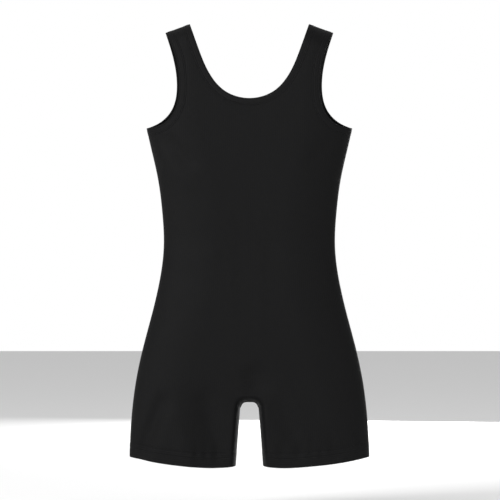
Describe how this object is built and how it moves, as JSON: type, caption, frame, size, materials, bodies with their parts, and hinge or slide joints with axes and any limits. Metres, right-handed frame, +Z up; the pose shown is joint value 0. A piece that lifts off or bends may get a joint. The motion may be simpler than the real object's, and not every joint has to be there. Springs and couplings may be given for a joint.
{
  "type": "gymnastics leotard",
  "caption": "Child's sleeveless scoop-neck gymnastics leotard with shorts legs, in smooth black stretch knit with turned elasticated hems.",
  "frame": {"origin": "midway between the neck corners of the two straps, on the shoulder line, where the straps lie on the wearer's shoulders", "axes": "+Z up towards the head, -Y towards the front of the garment, +X towards the wearer's left"},
  "size_m": [0.3236, 0.0736, 0.5965],
  "materials": {
    "knit": "matte",
    "cotton_lining": "matte",
    "elastic": "satin",
    "label_satin": "satin"
  },
  "bodies": {
    "root": {"front_panel": "knit", "back_panel": "knit", "crotch_gusset": "knit", "gusset_lining": "cotton_lining", "neck_elastic": "elastic", "armhole_elastic_left": "elastic", "armhole_elastic_right": "elastic", "leg_elastic_left": "elastic", "leg_elastic_right": "elastic", "care_label": "label_satin"}
  },
  "joints": []
}
